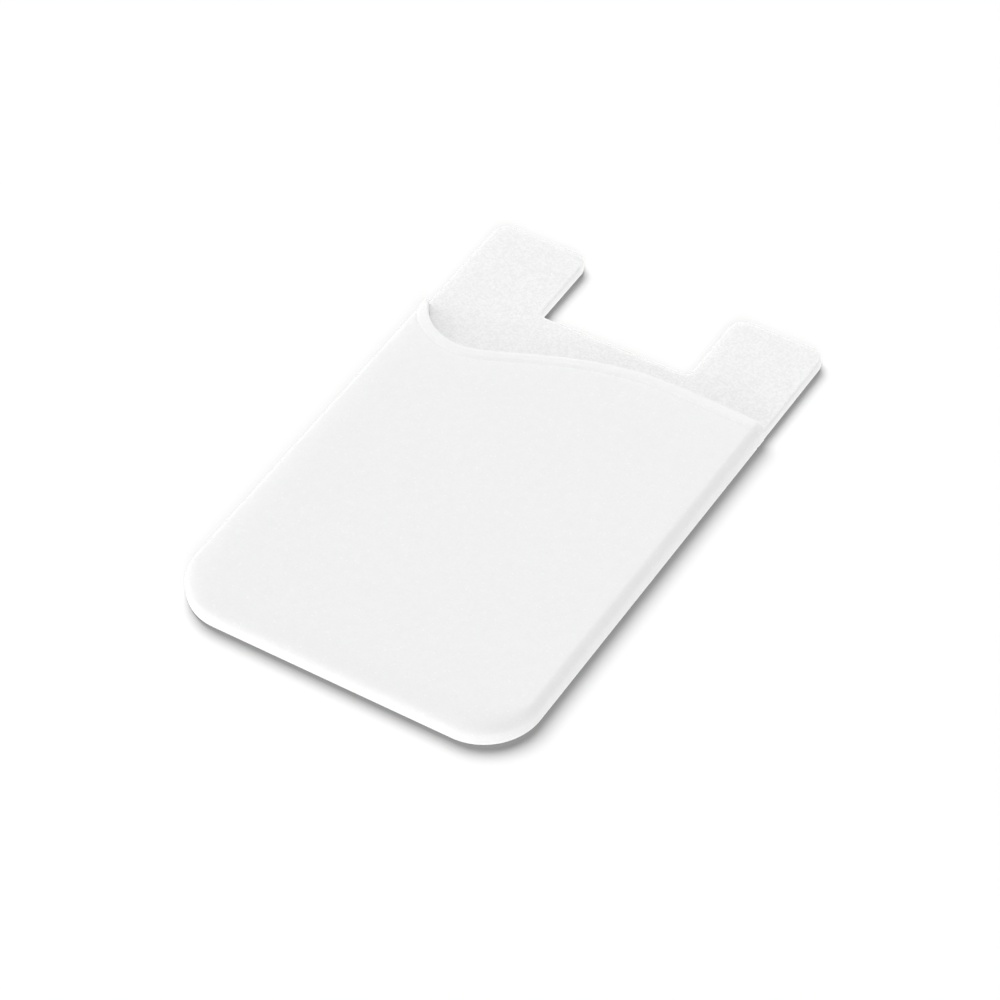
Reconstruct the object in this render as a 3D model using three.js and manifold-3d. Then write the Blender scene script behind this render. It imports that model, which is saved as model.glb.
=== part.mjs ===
// Stick-on card holder for the back of a phone, in millimetres.
// One soft silicone moulding: a flat back panel with two tabs and a finger notch between
// them, and a card pocket on its front whose wavy mouth ends in a rolled lip.
// A sheet of double-sided adhesive covers the flat back, under a peel-off paper liner.
// X runs across the card, Y from the pocket's closed end to the tabs, Z out of the front.
// The origin is under the middle of the holder, on the liner's lower face.

import * as THREE from 'three';
import { mergeVertices } from 'three/addons/utils/BufferGeometryUtils.js';
import Module from 'manifold-3d';

const wasm = await Module();
wasm.setup();

// The card in the pocket, and the room round it
const CARD_WIDTH = 53.98;
const CARD_THICKNESS = 0.76;
const CARD_SIDE_PLAY = 0.42;
const CARD_FACE_PLAY = 0.34;

// Walls of the moulding
const BACK_THICKNESS = 1.8;
const SIDE_WALL = 0.8;
const FRONT_WALL = 0.8;
const CLOSED_END_WALL = 1.0;

// Outline of the back panel
const LENGTH = 87;
const CLOSED_CORNER_RADIUS = 8.5;
const TAB_CORNER_RADIUS = 2.4;
const NOTCH_WIDTH = 25;
const NOTCH_DEPTH = 14;
const NOTCH_RIGHT_OF_MIDDLE = 0.3;
const NOTCH_CORNER_RADIUS = 1.2;
const PANEL_EDGE_RADIUS = 0.4;

// Outside of the pocket: it stands a little proud of the panel's edge, and its front face
// rolls over into the side walls and, more softly, into the closed end
const POCKET_OVERHANG = 0.12;
const SIDE_SHOULDER = 1.6;
const END_SHOULDER = 2.4;
const SHOULDER_DROP = 1.5;

// Wavy mouth, from left to right: a steep straight stretch, a round dip, a long S up to the
// crest, and a slight fall to the right side
const MOUTH_STEEPEST = 54;
const DIP_RADIUS = 9.8;
const DIP_FROM_LEFT = 10;
const DIP_BELOW_CREST = 8.6;
const CREST_FROM_RIGHT = 14.5;
const CREST_BELOW_NOTCH = 4;
const DIP_HANDLE = 5.8;
const CREST_HANDLE = 15.8;
const RIGHT_END_HANDLE = 6;
const RIGHT_END_FALL = 0.35;

// Rolled lip along the mouth
const LIP_RADIUS = 0.6;
const LIP_RISE = 0.3;

// Adhesive sheet and its liner
const ADHESIVE_THICKNESS = 0.25;
const ADHESIVE_MARGIN = 3.5;
const ADHESIVE_CORNER_RADIUS = 4;
const LINER_THICKNESS = 0.15;
const LINER_OVERLAP = 0.5;
const PULL_TAB_WIDTH = 10;
const PULL_TAB_REACH = 7;
const PULL_TAB_CORNER_RADIUS = 3;

// Smoothness of the round stretches, in straight steps
const CORNER_STEPS = 8;
const SHOULDER_STEPS = 6;
const MOUTH_STEPS = 14;
const LIP_SIDES = 10;

// Sizes that follow from those above
const POCKET_ROOM = CARD_THICKNESS + CARD_FACE_PLAY;
const HALF_WIDTH = (CARD_WIDTH + CARD_SIDE_PLAY) / 2 + SIDE_WALL;
const HALF_LENGTH = LENGTH / 2;
const NOTCH_FLOOR = HALF_LENGTH - NOTCH_DEPTH;
const BACK_FACE = LINER_THICKNESS + ADHESIVE_THICKNESS;
const PANEL_TOP = BACK_FACE + BACK_THICKNESS;
const POCKET_TOP = PANEL_TOP + POCKET_ROOM + FRONT_WALL;
const CREST_Y = NOTCH_FLOOR - CREST_BELOW_NOTCH;

// Closed outline with rounded corners. Each corner is its place and its radius along X and Y;
// neighbouring corners lie on a line along X or Y.
function roundedOutline(corners) {
  const points = [];
  corners.forEach(([x, y, radiusX, radiusY = radiusX], index) => {
    const corner = new THREE.Vector2(x, y);
    const before = corners.at(index - 1);
    const after = corners[(index + 1) % corners.length];
    const arriving = new THREE.Vector2(x - before[0], y - before[1]).normalize();
    const leaving = new THREE.Vector2(after[0] - x, after[1] - y).normalize();
    if (radiusX === 0) {
      points.push(corner);
      return;
    }
    const radii = new THREE.Vector2(radiusX, radiusY);
    arriving.multiply(radii);
    leaving.multiply(radii);
    const centre = corner.clone().sub(arriving).add(leaving);
    for (let step = 0; step <= CORNER_STEPS; step += 1) {
      const angle = (step / CORNER_STEPS) * (Math.PI / 2);
      const point = centre.clone();
      point.addScaledVector(leaving, -Math.cos(angle));
      point.addScaledVector(arriving, Math.sin(angle));
      points.push(point);
    }
  });
  return points;
}

// Closed body through outlines of equal point counts, each at its own height
function loftedGeometry(levels) {
  const count = levels[0].outline.length;
  const positions = levels.flatMap(({ outline, z }) => outline.flatMap((p) => [p.x, p.y, z]));
  const indices = [];
  for (let level = 0; level < levels.length - 1; level += 1) {
    for (let side = 0; side < count; side += 1) {
      const next = (side + 1) % count;
      const low = level * count;
      const high = low + count;
      indices.push(low + side, low + next, high + next);
      indices.push(low + side, high + next, high + side);
    }
  }
  const top = (levels.length - 1) * count;
  THREE.ShapeUtils.triangulateShape(levels[0].outline, []).forEach(([a, b, c]) => {
    indices.push(a, c, b);
  });
  THREE.ShapeUtils.triangulateShape(levels.at(-1).outline, []).forEach(([a, b, c]) => {
    indices.push(top + a, top + b, top + c);
  });
  const geometry = new THREE.BufferGeometry();
  geometry.setAttribute('position', new THREE.Float32BufferAttribute(positions, 3));
  geometry.setIndex(indices);
  return geometry;
}

// Flat sheet or plate from an outline, with its lower face at z = 0
function plateGeometry(outline, thickness) {
  const shape = new THREE.Shape(outline);
  return new THREE.ExtrudeGeometry(shape, { depth: thickness, bevelEnabled: false });
}

// Plate whose edge is rounded all round, on both faces
function roundedPlateGeometry(outline, thickness, radius) {
  const shape = new THREE.Shape(outline);
  return new THREE.ExtrudeGeometry(shape, {
    depth: thickness - 2 * radius,
    bevelThickness: radius,
    bevelSize: radius,
    bevelOffset: -radius,
    bevelSegments: 3,
  }).translate(0, 0, radius);
}

// Solid for joining and cutting, from any closed geometry
function solidFrom(geometry) {
  const bare = geometry.clone();
  bare.deleteAttribute('normal');
  bare.deleteAttribute('uv');
  const merged = mergeVertices(bare, 1e-5);
  return new wasm.Manifold(new wasm.Mesh({
    numProp: 3,
    vertProperties: new Float32Array(merged.attributes.position.array),
    triVerts: new Uint32Array(merged.index.array),
  }));
}

// Geometry for display, from a joined and cut solid
function geometryFrom(solid) {
  const mesh = solid.getMesh();
  const geometry = new THREE.BufferGeometry();
  geometry.setAttribute('position', new THREE.BufferAttribute(mesh.vertProperties, 3));
  geometry.setIndex(new THREE.BufferAttribute(mesh.triVerts, 1));
  geometry.computeVertexNormals();
  return geometry;
}

// Outline of the back panel: broad corners at the closed end, two tabs, and the notch
function panelOutline() {
  const notchLeft = NOTCH_RIGHT_OF_MIDDLE - NOTCH_WIDTH / 2;
  const notchRight = NOTCH_RIGHT_OF_MIDDLE + NOTCH_WIDTH / 2;
  return roundedOutline([
    [-HALF_WIDTH, -HALF_LENGTH, CLOSED_CORNER_RADIUS],
    [HALF_WIDTH, -HALF_LENGTH, CLOSED_CORNER_RADIUS],
    [HALF_WIDTH, HALF_LENGTH, TAB_CORNER_RADIUS],
    [notchRight, HALF_LENGTH, TAB_CORNER_RADIUS],
    [notchRight, NOTCH_FLOOR, NOTCH_CORNER_RADIUS],
    [notchLeft, NOTCH_FLOOR, NOTCH_CORNER_RADIUS],
    [notchLeft, HALF_LENGTH, TAB_CORNER_RADIUS],
    [-HALF_WIDTH, HALF_LENGTH, TAB_CORNER_RADIUS],
  ]);
}

// Outline of the pocket, or of the room in it, at one level. The walls give how far it is
// inside the pocket's outside, and the open end runs on past the mouth.
function pocketOutline(sideInset, endInset) {
  const halfWidth = HALF_WIDTH + POCKET_OVERHANG - sideInset;
  const closedEnd = -HALF_LENGTH - POCKET_OVERHANG + endInset;
  const radiusX = CLOSED_CORNER_RADIUS + POCKET_OVERHANG - sideInset;
  const radiusY = CLOSED_CORNER_RADIUS + POCKET_OVERHANG - endInset;
  return roundedOutline([
    [-halfWidth, closedEnd, radiusX, radiusY],
    [halfWidth, closedEnd, radiusX, radiusY],
    [halfWidth, HALF_LENGTH, 0],
    [-halfWidth, HALF_LENGTH, 0],
  ]);
}

// Body under the pocket's soft shoulders, set in from the outside by the given walls
function pocketBody(bottom, sideWall, endWall, frontWall) {
  const levels = [{ outline: pocketOutline(sideWall, endWall), z: bottom }];
  const sideRoll = SIDE_SHOULDER - sideWall;
  const endRoll = END_SHOULDER - endWall;
  const drop = SHOULDER_DROP - frontWall;
  for (let step = 0; step <= SHOULDER_STEPS; step += 1) {
    const angle = (step / SHOULDER_STEPS) * (Math.PI / 2);
    const across = 1 - Math.cos(angle);
    levels.push({
      outline: pocketOutline(sideWall + sideRoll * across, endWall + endRoll * across),
      z: POCKET_TOP - frontWall - drop * (1 - Math.sin(angle)),
    });
  }
  return solidFrom(loftedGeometry(levels));
}

// Centre line of the rolled lip seen from the front, from the left side to the right.
// The mouth's own edge runs one lip radius further towards the tabs.
function lipPlan() {
  const dip = new THREE.Vector2(-HALF_WIDTH + DIP_FROM_LEFT, CREST_Y - DIP_BELOW_CREST - LIP_RADIUS);
  const crest = new THREE.Vector2(HALF_WIDTH - CREST_FROM_RIGHT, CREST_Y - LIP_RADIUS);
  const rightEnd = new THREE.Vector2(HALF_WIDTH, crest.y - RIGHT_END_FALL);
  const radius = DIP_RADIUS + LIP_RADIUS;
  const steepest = THREE.MathUtils.degToRad(MOUTH_STEEPEST);
  const arcStart = new THREE.Vector2(
    dip.x - radius * Math.sin(steepest),
    dip.y + radius * (1 - Math.cos(steepest)),
  );
  const run = arcStart.x + HALF_WIDTH + POCKET_OVERHANG;
  const leftEnd = new THREE.Vector2(arcStart.x - run, arcStart.y + run * Math.tan(steepest));
  const path = new THREE.CurvePath();
  path.add(new THREE.LineCurve(leftEnd, arcStart));
  path.add(new THREE.EllipseCurve(
    dip.x, dip.y + radius, radius, radius, -Math.PI / 2 - steepest, -Math.PI / 2,
  ));
  path.add(new THREE.CubicBezierCurve(
    dip,
    new THREE.Vector2(dip.x + DIP_HANDLE, dip.y),
    new THREE.Vector2(crest.x - CREST_HANDLE, crest.y),
    crest,
  ));
  path.add(new THREE.CubicBezierCurve(
    crest,
    new THREE.Vector2(crest.x + RIGHT_END_HANDLE, crest.y),
    new THREE.Vector2(rightEnd.x - RIGHT_END_HANDLE, (rightEnd.y + crest.y) / 2),
    rightEnd,
  ));
  return path.getPoints(MOUTH_STEPS);
}

// Where the lip's centre line crosses a line along Y
function lipPlanY(plan, x) {
  const clamped = THREE.MathUtils.clamp(x, plan[0].x, plan.at(-1).x);
  const index = Math.max(plan.findIndex((point) => point.x >= clamped), 1);
  const low = plan[index - 1];
  const high = plan[index];
  const share = (clamped - low.x) / (high.x - low.x);
  return THREE.MathUtils.lerp(low.y, high.y, share);
}

// Path in space through given points, one step for each point
class PointPath extends THREE.Curve {
  constructor(points) {
    super();
    this.points = points;
  }

  getPoint(t, target = new THREE.Vector3()) {
    const place = t * (this.points.length - 1);
    const index = Math.min(Math.floor(place), this.points.length - 2);
    return target.lerpVectors(this.points[index], this.points[index + 1], place - index);
  }

  getUtoTmapping(u) {
    return u;
  }
}

// The rolled lip: up the left wall, over its shoulder, along the mouth and down on the right
function lipSolid(plan) {
  const depth = LIP_RADIUS - LIP_RISE;
  const wallX = HALF_WIDTH + POCKET_OVERHANG - depth;
  const shoulder = SIDE_SHOULDER - depth;
  const drop = SHOULDER_DROP - depth;
  const top = POCKET_TOP - depth;
  const onProfile = (side, angle) => {
    const x = side * (wallX - shoulder * (1 - Math.cos(angle)));
    return new THREE.Vector3(x, lipPlanY(plan, x), top - drop * (1 - Math.sin(angle)));
  };
  const foot = BACK_FACE + PANEL_EDGE_RADIUS + LIP_RADIUS;
  const footAt = (side) => new THREE.Vector3(side * wallX, lipPlanY(plan, side * wallX), foot);
  const angles = Array.from({ length: SHOULDER_STEPS }, (_, step) => (step / SHOULDER_STEPS) * (Math.PI / 2));
  const flat = wallX - shoulder;
  const along = plan.filter((point) => Math.abs(point.x) < flat);
  const points = [
    footAt(-1),
    ...angles.map((angle) => onProfile(-1, angle)),
    ...along.map((point) => new THREE.Vector3(point.x, point.y, top)),
    ...angles.toReversed().map((angle) => onProfile(1, angle)),
    footAt(1),
  ];
  const section = Array.from({ length: LIP_SIDES }, (_, side) => {
    const angle = (side / LIP_SIDES) * 2 * Math.PI;
    return new THREE.Vector2(LIP_RADIUS * Math.cos(angle), LIP_RADIUS * Math.sin(angle));
  });
  return solidFrom(new THREE.ExtrudeGeometry(new THREE.Shape(section), {
    steps: points.length - 1,
    extrudePath: new PointPath(points),
  }));
}

// Everything beyond the lip's centre line, through the whole height
function beyondMouth(plan) {
  const past = HALF_WIDTH + POCKET_OVERHANG + LIP_RADIUS;
  const far = HALF_LENGTH + LIP_RADIUS;
  const outline = [
    new THREE.Vector2(-past, plan[0].y),
    ...plan,
    new THREE.Vector2(past, plan.at(-1).y),
    new THREE.Vector2(past, far),
    new THREE.Vector2(-past, far),
  ];
  return solidFrom(plateGeometry(outline, POCKET_TOP + LIP_RADIUS));
}

// The silicone moulding
function mouldedHolder() {
  const plan = lipPlan();
  const panel = solidFrom(roundedPlateGeometry(panelOutline(), BACK_THICKNESS, PANEL_EDGE_RADIUS)
    .translate(0, 0, BACK_FACE));
  const outside = pocketBody(BACK_FACE + PANEL_EDGE_RADIUS, 0, 0, 0);
  const room = pocketBody(
    BACK_FACE,
    SIDE_WALL + POCKET_OVERHANG,
    CLOSED_END_WALL + POCKET_OVERHANG,
    FRONT_WALL,
  );
  const pocket = outside.subtract(room).subtract(beyondMouth(plan));
  return geometryFrom(pocket.add(lipSolid(plan)).add(panel));
}

// Outline of the adhesive sheet, or of the liner under it, which is larger all round and has
// a pull tab that reaches up behind the right-hand tab of the panel
function adhesiveOutline() {
  const halfWidth = HALF_WIDTH - ADHESIVE_MARGIN;
  const low = -HALF_LENGTH + ADHESIVE_MARGIN;
  const high = NOTCH_FLOOR - ADHESIVE_MARGIN;
  return roundedOutline([
    [-halfWidth, low, ADHESIVE_CORNER_RADIUS],
    [halfWidth, low, ADHESIVE_CORNER_RADIUS],
    [halfWidth, high, ADHESIVE_CORNER_RADIUS],
    [-halfWidth, high, ADHESIVE_CORNER_RADIUS],
  ]);
}

function linerOutline() {
  const halfWidth = HALF_WIDTH - ADHESIVE_MARGIN + LINER_OVERLAP;
  const low = -HALF_LENGTH + ADHESIVE_MARGIN - LINER_OVERLAP;
  const high = NOTCH_FLOOR - ADHESIVE_MARGIN + LINER_OVERLAP;
  const radius = ADHESIVE_CORNER_RADIUS + LINER_OVERLAP;
  const tabTip = high + PULL_TAB_REACH;
  return roundedOutline([
    [-halfWidth, low, radius],
    [halfWidth, low, radius],
    [halfWidth, tabTip, PULL_TAB_CORNER_RADIUS],
    [halfWidth - PULL_TAB_WIDTH, tabTip, PULL_TAB_CORNER_RADIUS],
    [halfWidth - PULL_TAB_WIDTH, high, PULL_TAB_CORNER_RADIUS],
    [-halfWidth, high, radius],
  ]);
}

function namedMesh(name, geometry, color, roughness) {
  const material = new THREE.MeshStandardMaterial({ color, roughness, metalness: 0 });
  const mesh = new THREE.Mesh(geometry, material);
  mesh.name = name;
  return mesh;
}

const holder = new THREE.Group();
holder.add(namedMesh('silicone_holder', mouldedHolder(), 0xf2f2f1, 0.6));

const adhesive = namedMesh(
  'adhesive_sheet', plateGeometry(adhesiveOutline(), ADHESIVE_THICKNESS), 0xdfe3e4, 0.3,
);
adhesive.position.z = LINER_THICKNESS;
holder.add(adhesive);

holder.add(namedMesh(
  'release_liner', plateGeometry(linerOutline(), LINER_THICKNESS), 0xf3efe2, 0.45,
));

export default holder;
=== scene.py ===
"""The looks of a stick-on phone card holder: a silicone moulding, its adhesive and its liner."""

from __future__ import annotations

import logging
import math
from dataclasses import dataclass, field
from enum import Enum

import bmesh
import bpy
import numpy as np
from mathutils import Matrix, Vector


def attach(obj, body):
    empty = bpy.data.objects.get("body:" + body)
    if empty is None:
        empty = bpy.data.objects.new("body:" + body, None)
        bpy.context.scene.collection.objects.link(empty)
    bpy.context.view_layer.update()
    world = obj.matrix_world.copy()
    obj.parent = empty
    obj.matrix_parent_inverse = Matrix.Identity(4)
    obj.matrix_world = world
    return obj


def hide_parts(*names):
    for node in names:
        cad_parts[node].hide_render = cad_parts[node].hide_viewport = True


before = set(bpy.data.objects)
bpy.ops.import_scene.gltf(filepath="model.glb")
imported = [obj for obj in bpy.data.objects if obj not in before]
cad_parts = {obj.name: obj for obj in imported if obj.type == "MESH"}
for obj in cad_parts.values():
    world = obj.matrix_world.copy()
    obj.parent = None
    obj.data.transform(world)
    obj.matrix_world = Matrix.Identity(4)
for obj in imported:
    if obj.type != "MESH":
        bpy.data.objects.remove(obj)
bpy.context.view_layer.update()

MM = 0.001
LOG = logging.getLogger("card_holder")

Point = tuple[float, float]
Grid = np.ndarray


class Slot(Enum):
    """Material slots of the record."""

    SILICONE = "white_silicone"
    ADHESIVE = "clear_adhesive"
    LINER = "liner_paper"


class Region(Enum):
    """Places of the two silicone finishes in the moulding's material list."""

    POCKET = 0
    PANEL = 1


def linear(hex_colour: str) -> tuple[float, float, float, float]:
    """Turns an sRGB hex colour into the linear values that a shader takes.

    Args:
        hex_colour: Six hex digits after a hash sign.

    Returns:
        Linear red, green, blue and an alpha of 1.
    """
    channels = [int(hex_colour[place:place + 2], 16) / 255 for place in (1, 3, 5)]
    values = [c / 12.92 if c <= 0.04045 else ((c + 0.055) / 1.055) ** 2.4 for c in channels]
    return (*values, 1.0)


def add_node(tree: bpy.types.NodeTree, kind: str, links: dict | None = None, **settings) -> bpy.types.Node:
    """Adds one node with its settings, socket values and links.

    Args:
        tree: Node tree that takes the node.
        kind: Blender's type name of the node.
        links: Input socket, by name or place, to an output socket or a plain value.
        settings: Properties of the node itself.

    Returns:
        The new node.
    """
    node = tree.nodes.new(kind)
    for name, value in settings.items():
        setattr(node, name, value)
    for socket, source in (links or {}).items():
        if isinstance(source, bpy.types.NodeSocket):
            tree.links.new(source, node.inputs[socket])
        else:
            node.inputs[socket].default_value = source
    return node


@dataclass(frozen=True)
class MouldedSilicone:
    """White silicone rubber, press-moulded in a spark-eroded steel tool.

    The eye gets a soft matte white without a mirror anywhere, a little light that has gone
    in and come out again at the edges, and a fine grain left by the tool.
    """

    name: str
    grain_mm: float
    grain_depth_mm: float
    mottle: float
    fleck_gain: float
    fleck_mm: float = 0.5
    fleck_share: float = 0.12
    cloud_share: float = 0.3
    colour: str = "#f2f2f2"
    roughness: float = 0.62
    ior: float = 1.41
    scatter_mm: float = 0.8
    scatter_weight: float = 0.6
    tone_low: float = 0.38
    tone_high: float = 0.62
    gloss_spread: float = 0.05

    def shaded(self, gain: float) -> tuple[float, float, float, float]:
        """Colour made lighter or darker by a share."""
        return (*(channel * gain for channel in linear(self.colour)[:3]), 1.0)

    def make(self) -> bpy.types.Material:
        """Builds the node material.

        Returns:
            The finished material.
        """
        material = bpy.data.materials.new(self.name)
        material.use_nodes = True
        tree = material.node_tree
        tree.nodes.clear()
        place = add_node(tree, "ShaderNodeTexCoord").outputs["Object"]
        per_metre = 1 / (self.grain_mm * MM)
        grain = add_node(tree, "ShaderNodeTexNoise", {
            "Vector": place, "Scale": per_metre, "Detail": 2.0, "Roughness": 0.6,
        })
        cloud = add_node(tree, "ShaderNodeTexNoise", {
            "Vector": place, "Scale": per_metre / 5, "Detail": 3.0, "Roughness": 0.55,
        })
        mixed = add_node(tree, "ShaderNodeMix", {
            "Factor": self.cloud_share, "A": grain.outputs["Fac"], "B": cloud.outputs["Fac"],
        }, data_type="FLOAT")
        tone = add_node(tree, "ShaderNodeMapRange", {
            "Value": mixed.outputs["Result"], "From Min": self.tone_low, "From Max": self.tone_high,
        })
        flecks = add_node(tree, "ShaderNodeTexVoronoi", {
            "Vector": place, "Scale": 1 / (self.fleck_mm * MM), "Randomness": 1.0,
        })
        dot = add_node(tree, "ShaderNodeMapRange", {
            "Value": flecks.outputs["Distance"], "From Min": 0.32, "From Max": 0.18,
        })
        chosen = add_node(tree, "ShaderNodeMath", {
            0: add_node(tree, "ShaderNodeSeparateColor", {"Color": flecks.outputs["Color"]}).outputs["Red"],
            1: self.fleck_share,
        }, operation="LESS_THAN")
        fleck = add_node(tree, "ShaderNodeMath", {
            0: dot.outputs["Result"], 1: chosen.outputs["Value"],
        }, operation="MULTIPLY")
        bump = add_node(tree, "ShaderNodeBump", {
            "Height": mixed.outputs["Result"],
            "Strength": 1.0, "Distance": self.grain_depth_mm * MM,
        })
        mottled = add_node(tree, "ShaderNodeMix", {
            "Factor": tone.outputs["Result"],
            "A": self.shaded(1 - self.mottle / 2), "B": self.shaded(1 + self.mottle / 2),
        }, data_type="RGBA")
        shade = add_node(tree, "ShaderNodeMix", {
            "Factor": fleck.outputs["Value"],
            "A": mottled.outputs["Result"], "B": self.shaded(1 + self.fleck_gain),
        }, data_type="RGBA")
        gloss = add_node(tree, "ShaderNodeMapRange", {
            "Value": mixed.outputs["Result"], "From Min": self.tone_low, "From Max": self.tone_high,
            "To Min": self.roughness - self.gloss_spread, "To Max": self.roughness + self.gloss_spread,
        })
        surface = add_node(tree, "ShaderNodeBsdfPrincipled", {
            "Base Color": shade.outputs["Result"],
            "Roughness": gloss.outputs["Result"],
            "IOR": self.ior,
            "Subsurface Weight": self.scatter_weight,
            "Subsurface Radius": (1.0, 1.0, 1.0),
            "Subsurface Scale": self.scatter_mm * MM,
            "Normal": bump.outputs["Normal"],
        })
        add_node(tree, "ShaderNodeOutputMaterial", {"Surface": surface.outputs["BSDF"]})
        return material


@dataclass(frozen=True)
class AcrylicAdhesive:
    """Clear acrylic pressure-sensitive adhesive on a film, with a smooth wet-looking edge."""

    name: str = "acrylic_adhesive_tape"
    colour: str = "#dfe4e5"
    roughness: float = 0.25
    ior: float = 1.47
    streak_mm: float = 0.6

    def make(self) -> bpy.types.Material:
        """Builds the node material.

        Returns:
            The finished material.
        """
        material = bpy.data.materials.new(self.name)
        material.use_nodes = True
        tree = material.node_tree
        tree.nodes.clear()
        place = add_node(tree, "ShaderNodeTexCoord").outputs["Object"]
        coating = add_node(tree, "ShaderNodeTexNoise", {
            "Vector": place, "Scale": 1 / (self.streak_mm * MM), "Detail": 2.0,
        })
        bump = add_node(tree, "ShaderNodeBump", {
            "Height": coating.outputs["Fac"], "Strength": 1.0, "Distance": 0.004 * MM,
        })
        surface = add_node(tree, "ShaderNodeBsdfPrincipled", {
            "Base Color": linear(self.colour),
            "Roughness": self.roughness,
            "IOR": self.ior,
            "Transmission Weight": 0.35,
            "Normal": bump.outputs["Normal"],
        })
        add_node(tree, "ShaderNodeOutputMaterial", {"Surface": surface.outputs["BSDF"]})
        return material


@dataclass(frozen=True)
class GlassinePaper:
    """Calendered glassine release paper with a silicone coat: pale cream, satin, faint fibres."""

    name: str = "coated_glassine_paper"
    colour: str = "#f1ecdc"
    fibre_colour: str = "#e6dfc9"
    roughness: float = 0.42
    ior: float = 1.5
    fibre_length_mm: float = 2.4
    fibre_width_mm: float = 0.18

    def make(self) -> bpy.types.Material:
        """Builds the node material.

        Returns:
            The finished material.
        """
        material = bpy.data.materials.new(self.name)
        material.use_nodes = True
        tree = material.node_tree
        tree.nodes.clear()
        place = add_node(tree, "ShaderNodeTexCoord").outputs["Object"]
        along = add_node(tree, "ShaderNodeMapping", {
            "Vector": place,
            "Scale": (1 / (self.fibre_width_mm * MM), 1 / (self.fibre_length_mm * MM), 1.0),
        })
        fibres = add_node(tree, "ShaderNodeTexNoise", {
            "Vector": along.outputs["Vector"], "Scale": 1.0, "Detail": 3.0, "Distortion": 0.8,
        })
        cloud = add_node(tree, "ShaderNodeTexNoise", {
            "Vector": place, "Scale": 1 / (self.fibre_length_mm * MM), "Detail": 2.0,
        })
        look = add_node(tree, "ShaderNodeMath", {
            0: fibres.outputs["Fac"], 1: cloud.outputs["Fac"],
        }, operation="MULTIPLY")
        share = add_node(tree, "ShaderNodeMapRange", {
            "Value": look.outputs["Value"], "From Min": 0.15, "From Max": 0.4,
        })
        shade = add_node(tree, "ShaderNodeMix", {
            "Factor": share.outputs["Result"],
            "A": linear(self.fibre_colour), "B": linear(self.colour),
        }, data_type="RGBA")
        bump = add_node(tree, "ShaderNodeBump", {
            "Height": fibres.outputs["Fac"], "Strength": 1.0, "Distance": 0.006 * MM,
        })
        surface = add_node(tree, "ShaderNodeBsdfPrincipled", {
            "Base Color": shade.outputs["Result"],
            "Roughness": self.roughness,
            "IOR": self.ior,
            "Coat Weight": 0.2,
            "Coat Roughness": 0.3,
            "Normal": bump.outputs["Normal"],
        })
        add_node(tree, "ShaderNodeOutputMaterial", {"Surface": surface.outputs["BSDF"]})
        return material


def bezier(start: Point, first: Point, second: Point, end: Point, steps: int) -> Grid:
    """Points along a cubic curve, both ends included.

    Args:
        start: First end.
        first: Handle of the first end.
        second: Handle of the second end.
        end: Second end.
        steps: Number of straight steps.

    Returns:
        Array of points, one row each.
    """
    t = np.linspace(0, 1, steps + 1)[:, None]
    near = (1 - t) ** 3 * np.array(start) + 3 * (1 - t) ** 2 * t * np.array(first)
    far = 3 * (1 - t) * t ** 2 * np.array(second) + t ** 3 * np.array(end)
    return near + far


def rounded_outline(corners: list[tuple[float, float, float]], inset: float, steps: int) -> Grid:
    """Closed outline with rounded corners, drawn inside itself by a given distance.

    Args:
        corners: Place and radius of each corner, anticlockwise; sides lie along X or Y.
        inset: How far inside the true outline the points lie.
        steps: Straight steps in each corner.

    Returns:
        Array of points, one row each.
    """
    points = []
    for index, (x, y, radius) in enumerate(corners):
        before = corners[index - 1]
        after = corners[(index + 1) % len(corners)]
        arriving = np.sign([x - before[0], y - before[1]])
        leaving = np.sign([after[0] - x, after[1] - y])
        turn = arriving[0] * leaving[1] - arriving[1] * leaving[0]
        centre = np.array([x, y]) + radius * (leaving - arriving)
        reach = radius - turn * inset
        for angle in np.linspace(0, math.pi / 2, steps + 1):
            points.append(centre + reach * (arriving * math.sin(angle) - leaving * math.cos(angle)))
    return np.array(points)


class MeshMaker:
    """Gathers grids and rings of points in millimetres into one mesh in metres."""

    def __init__(self) -> None:
        """Starts an empty mesh."""
        self.work = bmesh.new()

    def grid(self, points: Grid) -> None:
        """Adds a sheet of quads.

        Args:
            points: Array of rows, columns and the three coordinates.
        """
        rows = [[self.work.verts.new(Vector(p) * MM) for p in row] for row in points]
        for low, high in zip(rows, rows[1:]):
            for column in range(len(low) - 1):
                corners = (low[column], low[column + 1], high[column + 1], high[column])
                self.work.faces.new(corners)

    def closed_rings(self, rings: list[Grid]) -> None:
        """Adds a closed body through rings of points, with a flat face on the first and last.

        Args:
            rings: Arrays of equal length, each a closed ring.
        """
        self.grid(np.array([np.vstack([ring, ring[:1]]) for ring in rings]))
        for ring in (rings[0][::-1], rings[-1]):
            self.work.faces.new([self.work.verts.new(Vector(p) * MM) for p in ring])

    def finish(self, name: str) -> bpy.types.Object:
        """Closes the mesh, turns its faces outwards and puts it in the scene.

        Args:
            name: Name of the new object.

        Returns:
            The new object, at the origin.
        """
        bmesh.ops.remove_doubles(self.work, verts=self.work.verts, dist=0.001 * MM)
        open_edges = [edge for edge in self.work.edges if edge.is_boundary]
        if open_edges:
            bmesh.ops.holes_fill(self.work, edges=open_edges)
        bmesh.ops.recalc_face_normals(self.work, faces=self.work.faces)
        mesh = bpy.data.meshes.new(name)
        self.work.to_mesh(mesh)
        self.work.free()
        thing = bpy.data.objects.new(name, mesh)
        bpy.context.scene.collection.objects.link(thing)
        return thing


def baked(thing: bpy.types.Object) -> bpy.types.Mesh:
    """Plain mesh of an object with its modifiers applied."""
    graph = bpy.context.evaluated_depsgraph_get()
    return bpy.data.meshes.new_from_object(thing.evaluated_get(graph), depsgraph=graph)


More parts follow.
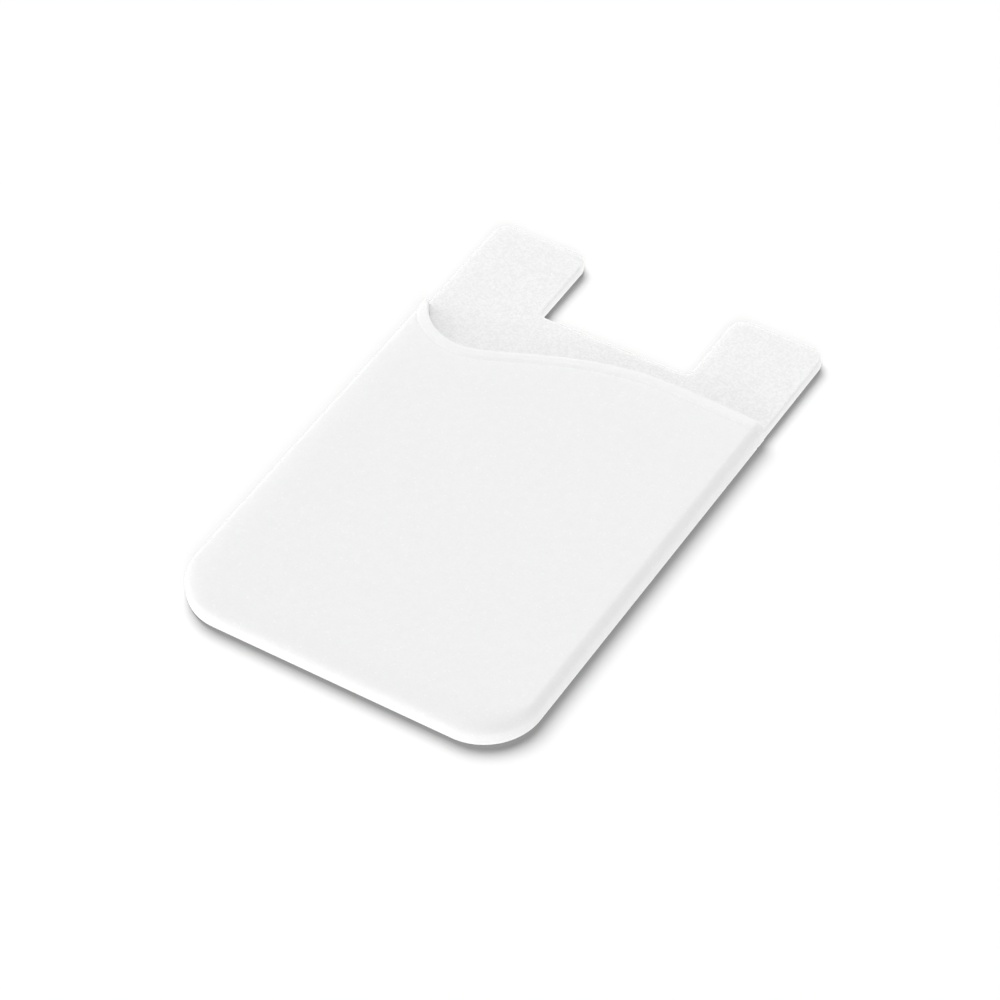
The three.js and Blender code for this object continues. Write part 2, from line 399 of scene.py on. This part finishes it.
@dataclass
class LipLine:
    """Centre line of the rolled lip, seen from the front, in millimetres.

    From left to right: a steep straight stretch, a round dip, a long S up to the crest, and
    a slight fall to the right side.
    """

    half_width: float
    notch_floor: float
    lip_radius: float
    steepest: float = 54
    dip_radius: float = 9.8
    dip_from_left: float = 10
    dip_below_crest: float = 8.6
    crest_from_right: float = 14.5
    crest_below_notch: float = 4
    dip_handle: float = 5.8
    crest_handle: float = 15.8
    right_end_handle: float = 6
    right_end_fall: float = 0.35
    steps: int = 60
    points: Grid = field(init=False)

    def __post_init__(self) -> None:
        """Works out the line's points once."""
        crest_y = self.notch_floor - self.crest_below_notch - self.lip_radius
        crest = (self.half_width - self.crest_from_right, crest_y)
        dip = (-self.half_width + self.dip_from_left, crest_y - self.dip_below_crest)
        end = (self.half_width, crest_y - self.right_end_fall)
        radius = self.dip_radius + self.lip_radius
        angles = np.radians(np.linspace(-self.steepest, 0, self.steps + 1))
        arc = np.stack([dip[0] + radius * np.sin(angles), dip[1] + radius * (1 - np.cos(angles))], 1)
        run = arc[0, 0] + self.half_width + self.lip_radius
        start = arc[0] + run * np.array([-1, math.tan(math.radians(self.steepest))])
        rise = bezier(
            dip, (dip[0] + self.dip_handle, dip[1]), (crest[0] - self.crest_handle, crest[1]),
            crest, self.steps,
        )
        fall = bezier(
            crest, (crest[0] + self.right_end_handle, crest[1]),
            (end[0] - self.right_end_handle, (end[1] + crest[1]) / 2), end, self.steps,
        )
        self.points = np.vstack([start, arc, rise[1:], fall[1:]])

    def y(self, x: Grid) -> Grid:
        """Places along Y at which the line crosses the given places along X."""
        return np.interp(x, self.points[:, 0], self.points[:, 1])


@dataclass
class PocketSkin:
    """One face of the pocket's wall, outer or inner: flat front, soft shoulders, side walls.

    All sizes are in millimetres. The walls say how far the face lies inside the outer one.
    """

    holder: Holder
    side_wall: float = 0
    end_wall: float = 0
    front_wall: float = 0
    left_shoulder: float = 1.6

    def levels(self) -> tuple[Grid, Grid]:
        """Share of the shoulder and height of each level, from the wall's foot upwards.

        Returns:
            Share from 0 at the wall to 1 at the flat front, and height.
        """
        h = self.holder
        top = h.pocket_top - self.front_wall
        drop = h.shoulder_drop - self.front_wall
        wall = np.linspace(h.wall_foot, top - drop, h.wall_steps + 1)[:-1]
        angles = np.linspace(0, math.pi / 2, h.shoulder_steps + 1)
        share = np.concatenate([np.zeros(len(wall)), 1 - np.cos(angles)])
        height = np.concatenate([wall, top - drop * (1 - np.sin(angles))])
        return share, height

    def reaches(self) -> tuple[Grid, Grid]:
        """Distance of each level from the middle plane.

        Returns:
            Distances on the left and on the right.
        """
        h = self.holder
        share, _ = self.levels()
        wall = h.pocket_half_width - self.side_wall
        left, right = (
            wall - (shoulder - self.side_wall) * share for shoulder in (self.left_shoulder, h.side_shoulder)
        )
        return left, right

    def tilted(self, shoulder: float) -> Grid:
        """Outward normals of the levels of one side, as if it were the left one.

        Args:
            shoulder: How far the shoulder of that side reaches in from the outer wall.

        Returns:
            Normals with a row for each level.
        """
        h = self.holder
        angles = np.linspace(0, math.pi / 2, h.shoulder_steps + 1)
        wide = np.sin(angles) * (shoulder - self.side_wall)
        tall = np.cos(angles) * (h.shoulder_drop - self.front_wall)
        tilt = np.concatenate([np.zeros(h.wall_steps), np.arctan2(wide, tall)])
        return np.stack([-np.cos(tilt), np.zeros(len(tilt)), np.sin(tilt)], 1)

    def section(self) -> tuple[Grid, Grid, Grid]:
        """Cross-section from the left wall's foot over the front to the right wall's foot.

        Returns:
            Places along X, heights, and outward normals with a row for each column.
        """
        h = self.holder
        _, height = self.levels()
        left, right = self.reaches()
        flat = np.linspace(-left[-1], right[-1], h.columns + 1)[1:-1]
        x = np.concatenate([-left, flat, right[::-1]])
        z = np.concatenate([height, np.full(len(flat), height[-1]), height[::-1]])
        up = np.tile([0.0, 0.0, 1.0], (len(flat), 1))
        right_side = self.tilted(h.side_shoulder)[::-1] * [-1, 1, 1]
        normals = np.vstack([self.tilted(self.left_shoulder), up, right_side])
        return x, z, normals

    def path(self) -> tuple[Grid, Grid, Grid, Grid]:
        """The lip's line laid on this face, with the directions of its frame.

        Returns:
            Points, outward normals, directions towards the opening, and how much further
            a step along Y is than the same step square to the lip.
        """
        x, z, normals = self.section()
        points = np.stack([x, self.holder.lip.y(x), z], 1)
        along = np.gradient(points, axis=0)
        along /= np.linalg.norm(along, axis=1)[:, None]
        opening = np.cross(normals, along)
        opening /= np.linalg.norm(opening, axis=1)[:, None]
        stretch = 1 / np.hypot(along[:, 0], along[:, 2])
        return points, normals, opening, stretch

    def mouth_rows(self, distances: list[float], heights: list[float]) -> Grid:
        """Rows that run beside the lip.

        Args:
            distances: How far each row lies from the lip's centre line.
            heights: How far each row stands out of the face.

        Returns:
            Grid with a row for each distance.
        """
        points, normals, _, stretch = self.path()
        rows = []
        for distance, height in zip(distances, heights):
            row = points + normals * height
            row[:, 1] -= distance * stretch
            rows.append(row)
        return np.array(rows)

    def skirt(self) -> Grid:
        """Shoulder and wall from the mouth down the left, round the closed end and back up.

        Returns:
            Grid with a row for each level and a column for each station.
        """
        h = self.holder
        share, height = self.levels()
        left_reach, right_reach = self.reaches()
        edge = self.mouth_rows([h.mouth_zone], [0.0])[0]
        count = len(height)
        left_top = edge[:count, 1]
        right_top = edge[::-1][:count, 1]
        centre = np.array([h.pocket_half_width, -h.pocket_low]) - h.pocket_corner
        rows = []
        for level in range(count):
            end_inset = self.end_wall + (h.end_shoulder - self.end_wall) * share[level]
            low = h.pocket_low + end_inset
            angles = np.linspace(0, math.pi / 2, h.corner_steps + 1)
            down = np.linspace(left_top[level], -centre[1], h.rows + 1)[:-1]
            left = np.stack([np.full(len(down), -left_reach[level]), down], 1)
            drop = centre[1] + (-centre[1] - low) * np.sin(angles)
            left_turn = np.stack([
                -centre[0] - (left_reach[level] - centre[0]) * np.cos(angles), -drop,
            ], 1)
            right_turn = np.stack([
                centre[0] + (right_reach[level] - centre[0]) * np.cos(angles), -drop,
            ], 1)[::-1]
            across = np.linspace(-centre[0], centre[0], h.columns - h.corner_steps + 1)[1:-1]
            low_side = np.stack([across, np.full(len(across), low)], 1)
            up = np.linspace(-centre[1], right_top[level], h.rows + 1)[1:]
            right = np.stack([np.full(len(up), right_reach[level]), up], 1)
            flat = np.vstack([left, left_turn, low_side, right_turn, right])
            rows.append(np.column_stack([flat, np.full(len(flat), height[level])]))
        return np.array(rows)

    def front(self) -> Grid:
        """Flat front of the pocket, blended between its four sides.

        Returns:
            Grid with rows from the mouth to the closed end.
        """
        h = self.holder
        rim = self.skirt()[-1]
        tall = h.rows + h.corner_steps // 2
        left = rim[:tall + 1]
        low = rim[tall:tall + h.columns + 1]
        right = rim[tall + h.columns:][::-1]
        edge = self.mouth_rows([h.mouth_zone], [0.0])[0]
        count = len(self.levels()[0])
        top = edge[count - 1:len(edge) - count + 1]
        u = np.linspace(0, 1, h.columns + 1)[None, :, None]
        v = np.linspace(0, 1, tall + 1)[:, None, None]
        ruled = (1 - v) * top[None] + v * low[None] + (1 - u) * left[:, None] + u * right[:, None]
        corners = (1 - u) * (1 - v) * top[0] + u * (1 - v) * top[-1]
        corners = corners + (1 - u) * v * low[0] + u * v * low[-1]
        return ruled - corners


@dataclass
class Holder:
    """The silicone moulding: back panel with tabs and notch, pocket, and rolled lip.

    All sizes are in millimetres, and its frame is the CAD model's.
    """

    length: float = 87
    half_width: float = 28
    back_face: float = 0.4
    back_thickness: float = 1.8
    side_wall: float = 0.8
    front_wall: float = 0.8
    end_wall: float = 1.0
    pocket_room: float = 1.1
    closed_corner: float = 8.5
    tab_corner: float = 2.4
    notch_left: float = -12.2
    notch_right: float = 12.8
    notch_depth: float = 14
    notch_corner: float = 1.2
    panel_edge: float = 0.4
    soft_edge: float = 2.2
    soft_fall: float = 0.26
    soft_rings: int = 7
    overhang: float = 0.12
    side_shoulder: float = 1.3
    left_shoulder: float = 4.0
    end_shoulder: float = 5.5
    shoulder_drop: float = 1.5
    lip_radius: float = 0.6
    lip_rise: float = 0.16
    lip_step: float = 0.95
    lip_step_width: float = 0.045
    lip_crown: float = 0.4
    lip_nose: float = 0.3
    lip_front: float = 0.5
    lip_under: float = 0.9
    groove_depth: float = 0.08
    groove_place: float = 1.33
    groove_width: float = 0.16
    mouth_zone: float = 2.6
    columns: int = 96
    rows: int = 70
    wall_steps: int = 6
    shoulder_steps: int = 12
    corner_steps: int = 24
    edge_steps: int = 6
    lip: LipLine = field(init=False)

    def __post_init__(self) -> None:
        """Works out the sizes that follow from the others."""
        self.half_length = self.length / 2
        self.notch_floor = self.half_length - self.notch_depth
        self.panel_top = self.back_face + self.back_thickness
        self.pocket_top = self.panel_top + self.pocket_room + self.front_wall
        self.pocket_half_width = self.half_width + self.overhang
        self.pocket_low = -self.half_length - self.overhang
        self.pocket_corner = self.closed_corner + self.overhang
        self.wall_foot = self.back_face + self.panel_edge
        self.lip = LipLine(self.half_width, self.notch_floor, self.lip_radius)

    def panel(self) -> bpy.types.Object:
        """Back panel with its rounded edge.

        Returns:
            The panel as a closed object.
        """
        corners = [
            (-self.half_width, -self.half_length, self.closed_corner),
            (self.half_width, -self.half_length, self.closed_corner),
            (self.half_width, self.half_length, self.tab_corner),
            (self.notch_right, self.half_length, self.tab_corner),
            (self.notch_right, self.notch_floor, self.notch_corner),
            (self.notch_left, self.notch_floor, self.notch_corner),
            (self.notch_left, self.half_length, self.tab_corner),
            (-self.half_width, self.half_length, self.tab_corner),
        ]
        angles = np.linspace(0, math.pi / 2, self.edge_steps + 1)
        insets = self.panel_edge * (1 - np.sin(angles))
        heights = self.panel_edge * (1 - np.cos(angles))
        low = [(2 * self.panel_edge, self.back_face)]
        low += [(inset, self.back_face + height) for inset, height in zip(insets, heights)]
        high = [(inset, self.panel_top - height) for inset, height in zip(insets[::-1], heights[::-1])]
        soft = np.linspace(self.panel_edge, self.soft_edge, self.soft_rings + 1)[1:]
        high += [(inset, self.panel_top) for inset in soft]
        steps = self.corner_steps // 2
        edge = rounded_outline(corners, 0.0, steps)
        facing = rounded_outline(corners, self.panel_edge / 4, steps) - edge
        facing /= np.linalg.norm(facing, axis=1)[:, None]
        left = np.clip(facing[:, 0], 0, 1) ** 2
        rings = []
        for inset, height in low + high:
            outline = rounded_outline(corners, inset, steps)
            share = max(1 - inset / self.soft_edge, 0.0)
            fall = self.soft_fall * share * share * left if height > self.back_thickness else 0 * left
            rings.append(np.column_stack([outline, height - fall]))
        maker = MeshMaker()
        maker.closed_rings(rings)
        return maker.finish("back_panel")

    def lip_section(self) -> list[Point]:
        """Cross-section of the lip: a fine groove, a soft step, a flat band and a round nose.

        Returns:
            Distance from the lip's line into the pocket and height over the front, pairwise.
        """
        section = []
        nose_start = self.lip_nose - self.lip_front
        for reach in np.linspace(self.mouth_zone, nose_start, 34)[1:-1]:
            groove = math.exp(-((reach - self.groove_place) / self.groove_width) ** 2)
            step = 1 / (1 + math.exp((reach - self.lip_step) / self.lip_step_width))
            across = min(max((self.lip_step - reach) / self.lip_step, 0.0), 1.0)
            crown = 1 - self.lip_crown * (1 - across)
            section.append((reach, self.lip_rise * step * crown - self.groove_depth * groove))
        middle = (self.lip_rise - self.lip_under) / 2
        tall = (self.lip_rise + self.lip_under) / 2
        for angle in np.linspace(math.pi / 2, -math.pi / 2, 17):
            out = math.cos(angle) ** 0.8
            up = math.copysign(abs(math.sin(angle)) ** 0.8, math.sin(angle))
            section.append((nose_start - self.lip_nose * out, middle + tall * up))
        return section

    def lip_rows(self, outer: PocketSkin) -> Grid:
        """Lip from the front face over the opening's edge to its underside.

        Args:
            outer: The pocket's outer face.

        Returns:
            Grid with a row for each point of the lip's cross-section.
        """
        points, normals, opening, stretch = outer.path()
        fade = np.clip((points[:, 2] - self.wall_foot) / (2 * self.lip_radius), 0, 1)
        fade = (fade * fade * (3 - 2 * fade))[:, None]
        rows = []
        for reach, height in self.lip_section():
            share = fade if height > 0 else 1.0
            row = points + normals * height * share
            if reach > 0:
                row[:, 1] -= reach * stretch
            else:
                row -= opening * reach
            rows.append(row)
        return np.array(rows)

    def pocket(self) -> bpy.types.Object:
        """Pocket's wall with its lip, open at the foot only where the panel closes it.

        Returns:
            The pocket as a closed object.
        """
        outer = PocketSkin(self, left_shoulder=self.left_shoulder)
        inner = PocketSkin(
            self, self.side_wall + self.overhang, self.end_wall + self.overhang, self.front_wall,
        )
        rim = outer.mouth_rows([self.mouth_zone], [0.0])
        inner_rows = inner.mouth_rows([self.mouth_zone, 1.4, 0.8, 0.5], [0.0] * 4)
        maker = MeshMaker()
        for skin in (outer, inner):
            maker.grid(skin.skirt())
            maker.grid(skin.front())
        maker.grid(inner_rows)
        maker.grid(np.concatenate([rim, self.lip_rows(outer), inner_rows[-1:]]))
        maker.grid(np.array([outer.skirt()[0], inner.skirt()[0]]))
        return maker.finish("card_pocket")

    def build(self) -> bpy.types.Object:
        """Joins the panel and the pocket into the one moulding.

        Returns:
            The moulding, smooth where it is round and crisp in its inner corners.
        """
        panel = self.panel()
        pocket = self.pocket()
        join = pocket.modifiers.new("one_moulding", "BOOLEAN")
        join.operation = "UNION"
        join.solver = "EXACT"
        join.object = panel
        mesh = baked(pocket)
        for thing in (panel, pocket):
            bpy.data.objects.remove(thing)
        self.smooth(mesh)
        moulding = bpy.data.objects.new("moulded_holder", mesh)
        bpy.context.scene.collection.objects.link(moulding)
        return moulding

    @staticmethod
    def smooth(mesh: bpy.types.Mesh, crease: float = 40) -> None:
        """Shades a mesh smooth, apart from edges sharper than an angle.

        Args:
            mesh: Mesh to shade.
            crease: Angle in degrees above which an edge stays crisp.
        """
        work = bmesh.new()
        work.from_mesh(mesh)
        bmesh.ops.remove_doubles(work, verts=work.verts, dist=0.001 * MM)
        for face in work.faces:
            face.smooth = True
        for edge in work.edges:
            edge.smooth = len(edge.link_faces) == 2 and edge.calc_face_angle() < math.radians(crease)
        work.to_mesh(mesh)
        work.free()

    def dress(self, moulding: bpy.types.Object) -> None:
        """Gives the pocket and the panel's upper face their finishes.

        Args:
            moulding: The joined moulding.
        """
        pocket = MouldedSilicone(
            "silicone_fine_eroded", grain_mm=0.28, grain_depth_mm=0.01, mottle=0.032, fleck_gain=0.065,
        )
        panel = MouldedSilicone(
            "silicone_coarse_eroded", grain_mm=0.34, grain_depth_mm=0.036, mottle=0.095, fleck_gain=0.1,
            fleck_mm=0.4, fleck_share=0.2, cloud_share=0.12,
        )
        mesh = moulding.data
        mesh.materials.clear()
        mesh.materials.append(pocket.make())
        mesh.materials.append(panel.make())
        limit = (self.panel_top + 0.01) * MM
        for face in mesh.polygons:
            on_panel = face.center.z < limit and face.normal.z > 0.5
            face.material_index = Region.PANEL.value if on_panel else Region.POCKET.value


@dataclass
class DieCutSheet:
    """A thin sheet cut to a rounded outline, with sizes in millimetres."""

    name: str
    corners: list[tuple[float, float, float]]
    base: float
    thickness: float

    def outline(self) -> bpy.types.Object:
        """Closed outline as a curve whose point radius is the corner's radius.

        Returns:
            The curve object.
        """
        curve = bpy.data.curves.new(self.name, "CURVE")
        curve.dimensions = "3D"
        spline = curve.splines.new("POLY")
        spline.points.add(len(self.corners) - 1)
        for point, (x, y, radius) in zip(spline.points, self.corners):
            point.co = (x * MM, y * MM, 0.0, 1.0)
            point.radius = radius * MM
        spline.use_cyclic_u = True
        thing = bpy.data.objects.new(self.name, curve)
        bpy.context.scene.collection.objects.link(thing)
        return thing

    def tree(self) -> bpy.types.NodeTree:
        """Node tree that rounds an outline's corners, fills it and gives it a thickness.

        Returns:
            The tree, with the inputs Base, Thickness, Corner Steps and Finish.
        """
        tree = bpy.data.node_groups.new(f"cut_{self.name}", "GeometryNodeTree")
        face = tree.interface
        face.new_socket("Outline", in_out="INPUT", socket_type="NodeSocketGeometry")
        face.new_socket("Base", in_out="INPUT", socket_type="NodeSocketFloat")
        face.new_socket("Thickness", in_out="INPUT", socket_type="NodeSocketFloat")
        face.new_socket("Corner Steps", in_out="INPUT", socket_type="NodeSocketInt")
        face.new_socket("Finish", in_out="INPUT", socket_type="NodeSocketMaterial")
        face.new_socket("Sheet", in_out="OUTPUT", socket_type="NodeSocketGeometry")
        given = add_node(tree, "NodeGroupInput").outputs
        rounded = add_node(tree, "GeometryNodeFilletCurve", {
            "Curve": given["Outline"],
            "Count": given["Corner Steps"],
            "Radius": add_node(tree, "GeometryNodeInputRadius").outputs["Radius"],
        }, mode="POLY")
        filled = add_node(tree, "GeometryNodeFillCurve", {"Curve": rounded.outputs["Curve"]}, mode="NGONS")
        placed = add_node(tree, "GeometryNodeSetPosition", {
            "Geometry": filled.outputs["Mesh"],
            "Offset": add_node(tree, "ShaderNodeCombineXYZ", {"Z": given["Base"]}).outputs["Vector"],
        })
        raised = add_node(tree, "GeometryNodeExtrudeMesh", {
            "Mesh": placed.outputs["Geometry"],
            "Offset": (0.0, 0.0, 1.0),
            "Offset Scale": given["Thickness"],
            "Individual": False,
        })
        under = add_node(tree, "GeometryNodeFlipFaces", {"Mesh": placed.outputs["Geometry"]})
        both = add_node(tree, "GeometryNodeJoinGeometry")
        tree.links.new(raised.outputs["Mesh"], both.inputs["Geometry"])
        tree.links.new(under.outputs["Mesh"], both.inputs["Geometry"])
        whole = add_node(tree, "GeometryNodeMergeByDistance", {
            "Geometry": both.outputs["Geometry"], "Distance": 0.001 * MM,
        })
        real = add_node(tree, "GeometryNodeRealizeInstances", {"Geometry": whole.outputs["Geometry"]})
        finished = add_node(tree, "GeometryNodeSetMaterial", {
            "Geometry": real.outputs["Geometry"], "Material": given["Finish"],
        })
        add_node(tree, "NodeGroupOutput", {"Sheet": finished.outputs["Geometry"]})
        return tree

    def build(self, finish: bpy.types.Material, corner_steps: int = 16) -> bpy.types.Object:
        """Cuts the sheet.

        Args:
            finish: Material of the whole sheet.
            corner_steps: Straight steps in each rounded corner.

        Returns:
            The sheet as a plain mesh object.
        """
        outline = self.outline()
        cut = outline.modifiers.new("die_cut", "NODES")
        cut.node_group = self.tree()
        values = {
            "Base": self.base * MM, "Thickness": self.thickness * MM,
            "Corner Steps": corner_steps, "Finish": finish,
        }
        for item in cut.node_group.interface.items_tree:
            if item.name in values:
                cut[item.identifier] = values[item.name]
        mesh = baked(outline)
        mesh.name = self.name
        bpy.data.objects.remove(outline)
        sheet = bpy.data.objects.new(self.name, mesh)
        bpy.context.scene.collection.objects.link(sheet)
        return sheet


@dataclass
class StickyBack:
    """The adhesive sheet on the panel's back, and the peel-off liner that covers it."""

    holder: Holder
    margin: float = 3.5
    corner: float = 4
    liner_thickness: float = 0.15
    overlap: float = 0.5
    pull_width: float = 10
    pull_reach: float = 7
    pull_corner: float = 3

    def adhesive(self) -> bpy.types.Object:
        """Sheet of adhesive, flat against the panel.

        Returns:
            The sheet's object.
        """
        half = self.holder.half_width - self.margin
        low = -self.holder.half_length + self.margin
        high = self.holder.notch_floor - self.margin
        corners = [(x, y, self.corner) for x, y in ((-half, low), (half, low), (half, high), (-half, high))]
        thickness = self.holder.back_face - self.liner_thickness
        sheet = DieCutSheet("adhesive_film", corners, self.liner_thickness, thickness)
        return sheet.build(AcrylicAdhesive().make())

    def liner(self) -> bpy.types.Object:
        """Paper liner, larger than the adhesive all round, with its pull tab.

        Returns:
            The liner's object.
        """
        half = self.holder.half_width - self.margin + self.overlap
        low = -self.holder.half_length + self.margin - self.overlap
        high = self.holder.notch_floor - self.margin + self.overlap
        radius = self.corner + self.overlap
        tip = high + self.pull_reach
        corners = [
            (-half, low, radius),
            (half, low, radius),
            (half, tip, self.pull_corner),
            (half - self.pull_width, tip, self.pull_corner),
            (half - self.pull_width, high, self.pull_corner),
            (-half, high, radius),
        ]
        sheet = DieCutSheet("peel_off_liner", corners, 0.0, self.liner_thickness)
        return sheet.build(GlassinePaper().make())


@dataclass(frozen=True)
class SoftLamp:
    """A far, soft lamp: the side it stands on, its width and how bright it makes white."""

    name: str
    away: tuple[float, float, float]
    width: float
    level: float

    def build(self, lit: bpy.types.Collection, shade: bpy.types.Collection | None = None) -> None:
        """Puts the lamp in the scene.

        Args:
            lit: The objects that the lamp lights.
            shade: The only objects that cast its shadows, or None for all of them.
        """
        data = bpy.data.lights.new(self.name, "SUN")
        data.energy = math.pi * self.level
        data.angle = math.radians(self.width)
        lamp = bpy.data.objects.new(self.name, data)
        lamp.matrix_world = Vector(self.away).to_track_quat("Z", "Y").to_matrix().to_4x4()
        bpy.context.scene.collection.objects.link(lamp)
        lamp.light_linking.receiver_collection = lit
        lamp.light_linking.blocker_collection = shade


@dataclass
class Studio:
    """Grey floor lit to white, soft light and the camera at the photograph's angle."""

    target_mm: tuple[float, float, float] = (2.522, -4.629, 2.0)
    azimuth: float = 34.861
    elevation: float = 46.880
    roll: float = -3.421
    distance_mm: float = 558.74
    lens_mm: float = 143.535
    floor_size: float = 3.0
    floor_colour: str = "#5e5e5e"
    room_level: float = 0.1
    floor_lift: float = 0.008
    holder_lamps: tuple[SoftLamp, ...] = (
        SoftLamp("overhead_dome", (0.0, 0.0, 1.0), 170, 0.30),
        SoftLamp("overhead_box", (0.0, 0.0, 1.0), 60, 0.34),
        SoftLamp("front_box", (0.0, -1.0, 0.25), 40, 0.29),
        SoftLamp("left_box", (-1.0, 0.0, 0.30), 40, 0.30),
        SoftLamp("rear_box", (0.0, 1.0, 0.30), 40, 0.28),
    )
    table_glow: SoftLamp = SoftLamp("table_glow", (0.0, 0.0, -1.0), 170, 1.24)
    floor_lamps: tuple[SoftLamp, ...] = (
        SoftLamp("floor_box", (-0.42, 0.31, 1.0), 46, 7.70),
        SoftLamp("floor_fill", (0.39, -0.56, 0.62), 40, 2.95),
    )

    def camera(self) -> None:
        """Places the camera, looking at the target from the photograph's side."""
        azimuth = math.radians(self.azimuth)
        elevation = math.radians(self.elevation)
        away = Vector((
            math.sin(azimuth) * math.cos(elevation),
            -math.cos(azimuth) * math.cos(elevation),
            math.sin(elevation),
        ))
        data = bpy.data.cameras.new("camera")
        data.lens = self.lens_mm
        data.sensor_width = 36.0
        data.clip_start = 0.01
        camera = bpy.data.objects.new("camera", data)
        turn = away.to_track_quat("Z", "Y").to_matrix().to_4x4()
        turn = turn @ Matrix.Rotation(math.radians(self.roll), 4, "Z")
        place = (Vector(self.target_mm) + away * self.distance_mm) * MM
        camera.matrix_world = Matrix.Translation(place) @ turn
        bpy.context.scene.collection.objects.link(camera)
        bpy.context.scene.camera = camera

    @staticmethod
    def seen(tree: bpy.types.NodeTree) -> bpy.types.NodeSocket:
        """Share that is 1 where the camera, a gloss or a clear body looks at the background.

        Args:
            tree: Node tree that takes the nodes.

        Returns:
            The socket with the share.
        """
        path = add_node(tree, "ShaderNodeLightPath").outputs
        mirrored = add_node(tree, "ShaderNodeMath", {
            0: path["Is Glossy Ray"], 1: path["Is Transmission Ray"],
        }, operation="MAXIMUM")
        either = add_node(tree, "ShaderNodeMath", {
            0: path["Is Camera Ray"], 1: mirrored.outputs["Value"],
        }, operation="MAXIMUM")
        return either.outputs["Value"]

    def floor(self) -> bpy.types.Object:
        """Matte grey floor that its own lamps bring to white, and that keeps the shadow.

        Returns:
            The floor's object.
        """
        half = self.floor_size / 2
        corners = [(-half, -half, 0), (half, -half, 0), (half, half, 0), (-half, half, 0)]
        mesh = bpy.data.meshes.new("floor")
        mesh.from_pydata(corners, [], [(0, 1, 2, 3)])
        material = bpy.data.materials.new("grey_studio_floor")
        material.use_nodes = True
        tree = material.node_tree
        tree.nodes.clear()
        matte = add_node(tree, "ShaderNodeBsdfDiffuse", {"Color": linear(self.floor_colour)})
        lift = add_node(tree, "ShaderNodeEmission", {
            "Color": linear("#ffffff"), "Strength": self.floor_lift,
        })
        lifted = add_node(tree, "ShaderNodeAddShader", {0: matte.outputs[0], 1: lift.outputs[0]})
        add_node(tree, "ShaderNodeOutputMaterial", {"Surface": lifted.outputs[0]})
        mesh.materials.append(material)
        floor = bpy.data.objects.new("floor", mesh)
        bpy.context.scene.collection.objects.link(floor)
        floor.visible_diffuse = False
        return floor

    def world(self) -> None:
        """Even, neutral surroundings, white where they are seen."""
        world = bpy.data.worlds.new("studio")
        world.use_nodes = True
        tree = world.node_tree
        tree.nodes.clear()
        room = add_node(tree, "ShaderNodeBackground", {
            "Color": linear("#ffffff"), "Strength": self.room_level,
        })
        backdrop = add_node(tree, "ShaderNodeBackground", {"Color": linear("#ffffff"), "Strength": 1.0})
        mixed = add_node(tree, "ShaderNodeMixShader", {
            0: self.seen(tree), 1: room.outputs[0], 2: backdrop.outputs[0],
        })
        add_node(tree, "ShaderNodeOutputWorld", {"Surface": mixed.outputs[0]})
        bpy.context.scene.world = world

    def build(self, pieces: list[bpy.types.Object]) -> None:
        """Sets up the whole studio.

        Args:
            pieces: The pieces that the holder's lamps light.
        """
        self.camera()
        self.world()
        on_holder = bpy.data.collections.new("lit_holder")
        for piece in pieces:
            on_holder.objects.link(piece)
        for lamp in self.holder_lamps:
            lamp.build(on_holder)
        self.table_glow.build(on_holder, on_holder)
        on_floor = bpy.data.collections.new("lit_floor")
        on_floor.objects.link(self.floor())
        for lamp in self.floor_lamps:
            lamp.build(on_floor)
        bpy.context.scene.view_settings.view_transform = "Standard"


def join_to_frame(piece: bpy.types.Object, node: str) -> None:
    """Makes a finished piece stand for its CAD node.

    Args:
        piece: The finished piece.
        node: Name of the CAD node.
    """
    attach(piece, "root")
    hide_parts(node)
    LOG.info("%s stands for %s with %d faces", piece.name, node, len(piece.data.polygons))


def main() -> None:
    """Builds every piece, dresses it and sets up the studio."""
    logging.basicConfig(level=logging.INFO, format="%(name)s: %(message)s")
    holder = Holder()
    moulding = holder.build()
    holder.dress(moulding)
    join_to_frame(moulding, "silicone_holder")
    back = StickyBack(holder)
    adhesive = back.adhesive()
    join_to_frame(adhesive, "adhesive_sheet")
    liner = back.liner()
    join_to_frame(liner, "release_liner")
    Studio().build([moulding, adhesive, liner])


if __name__ == "__main__":
    main()
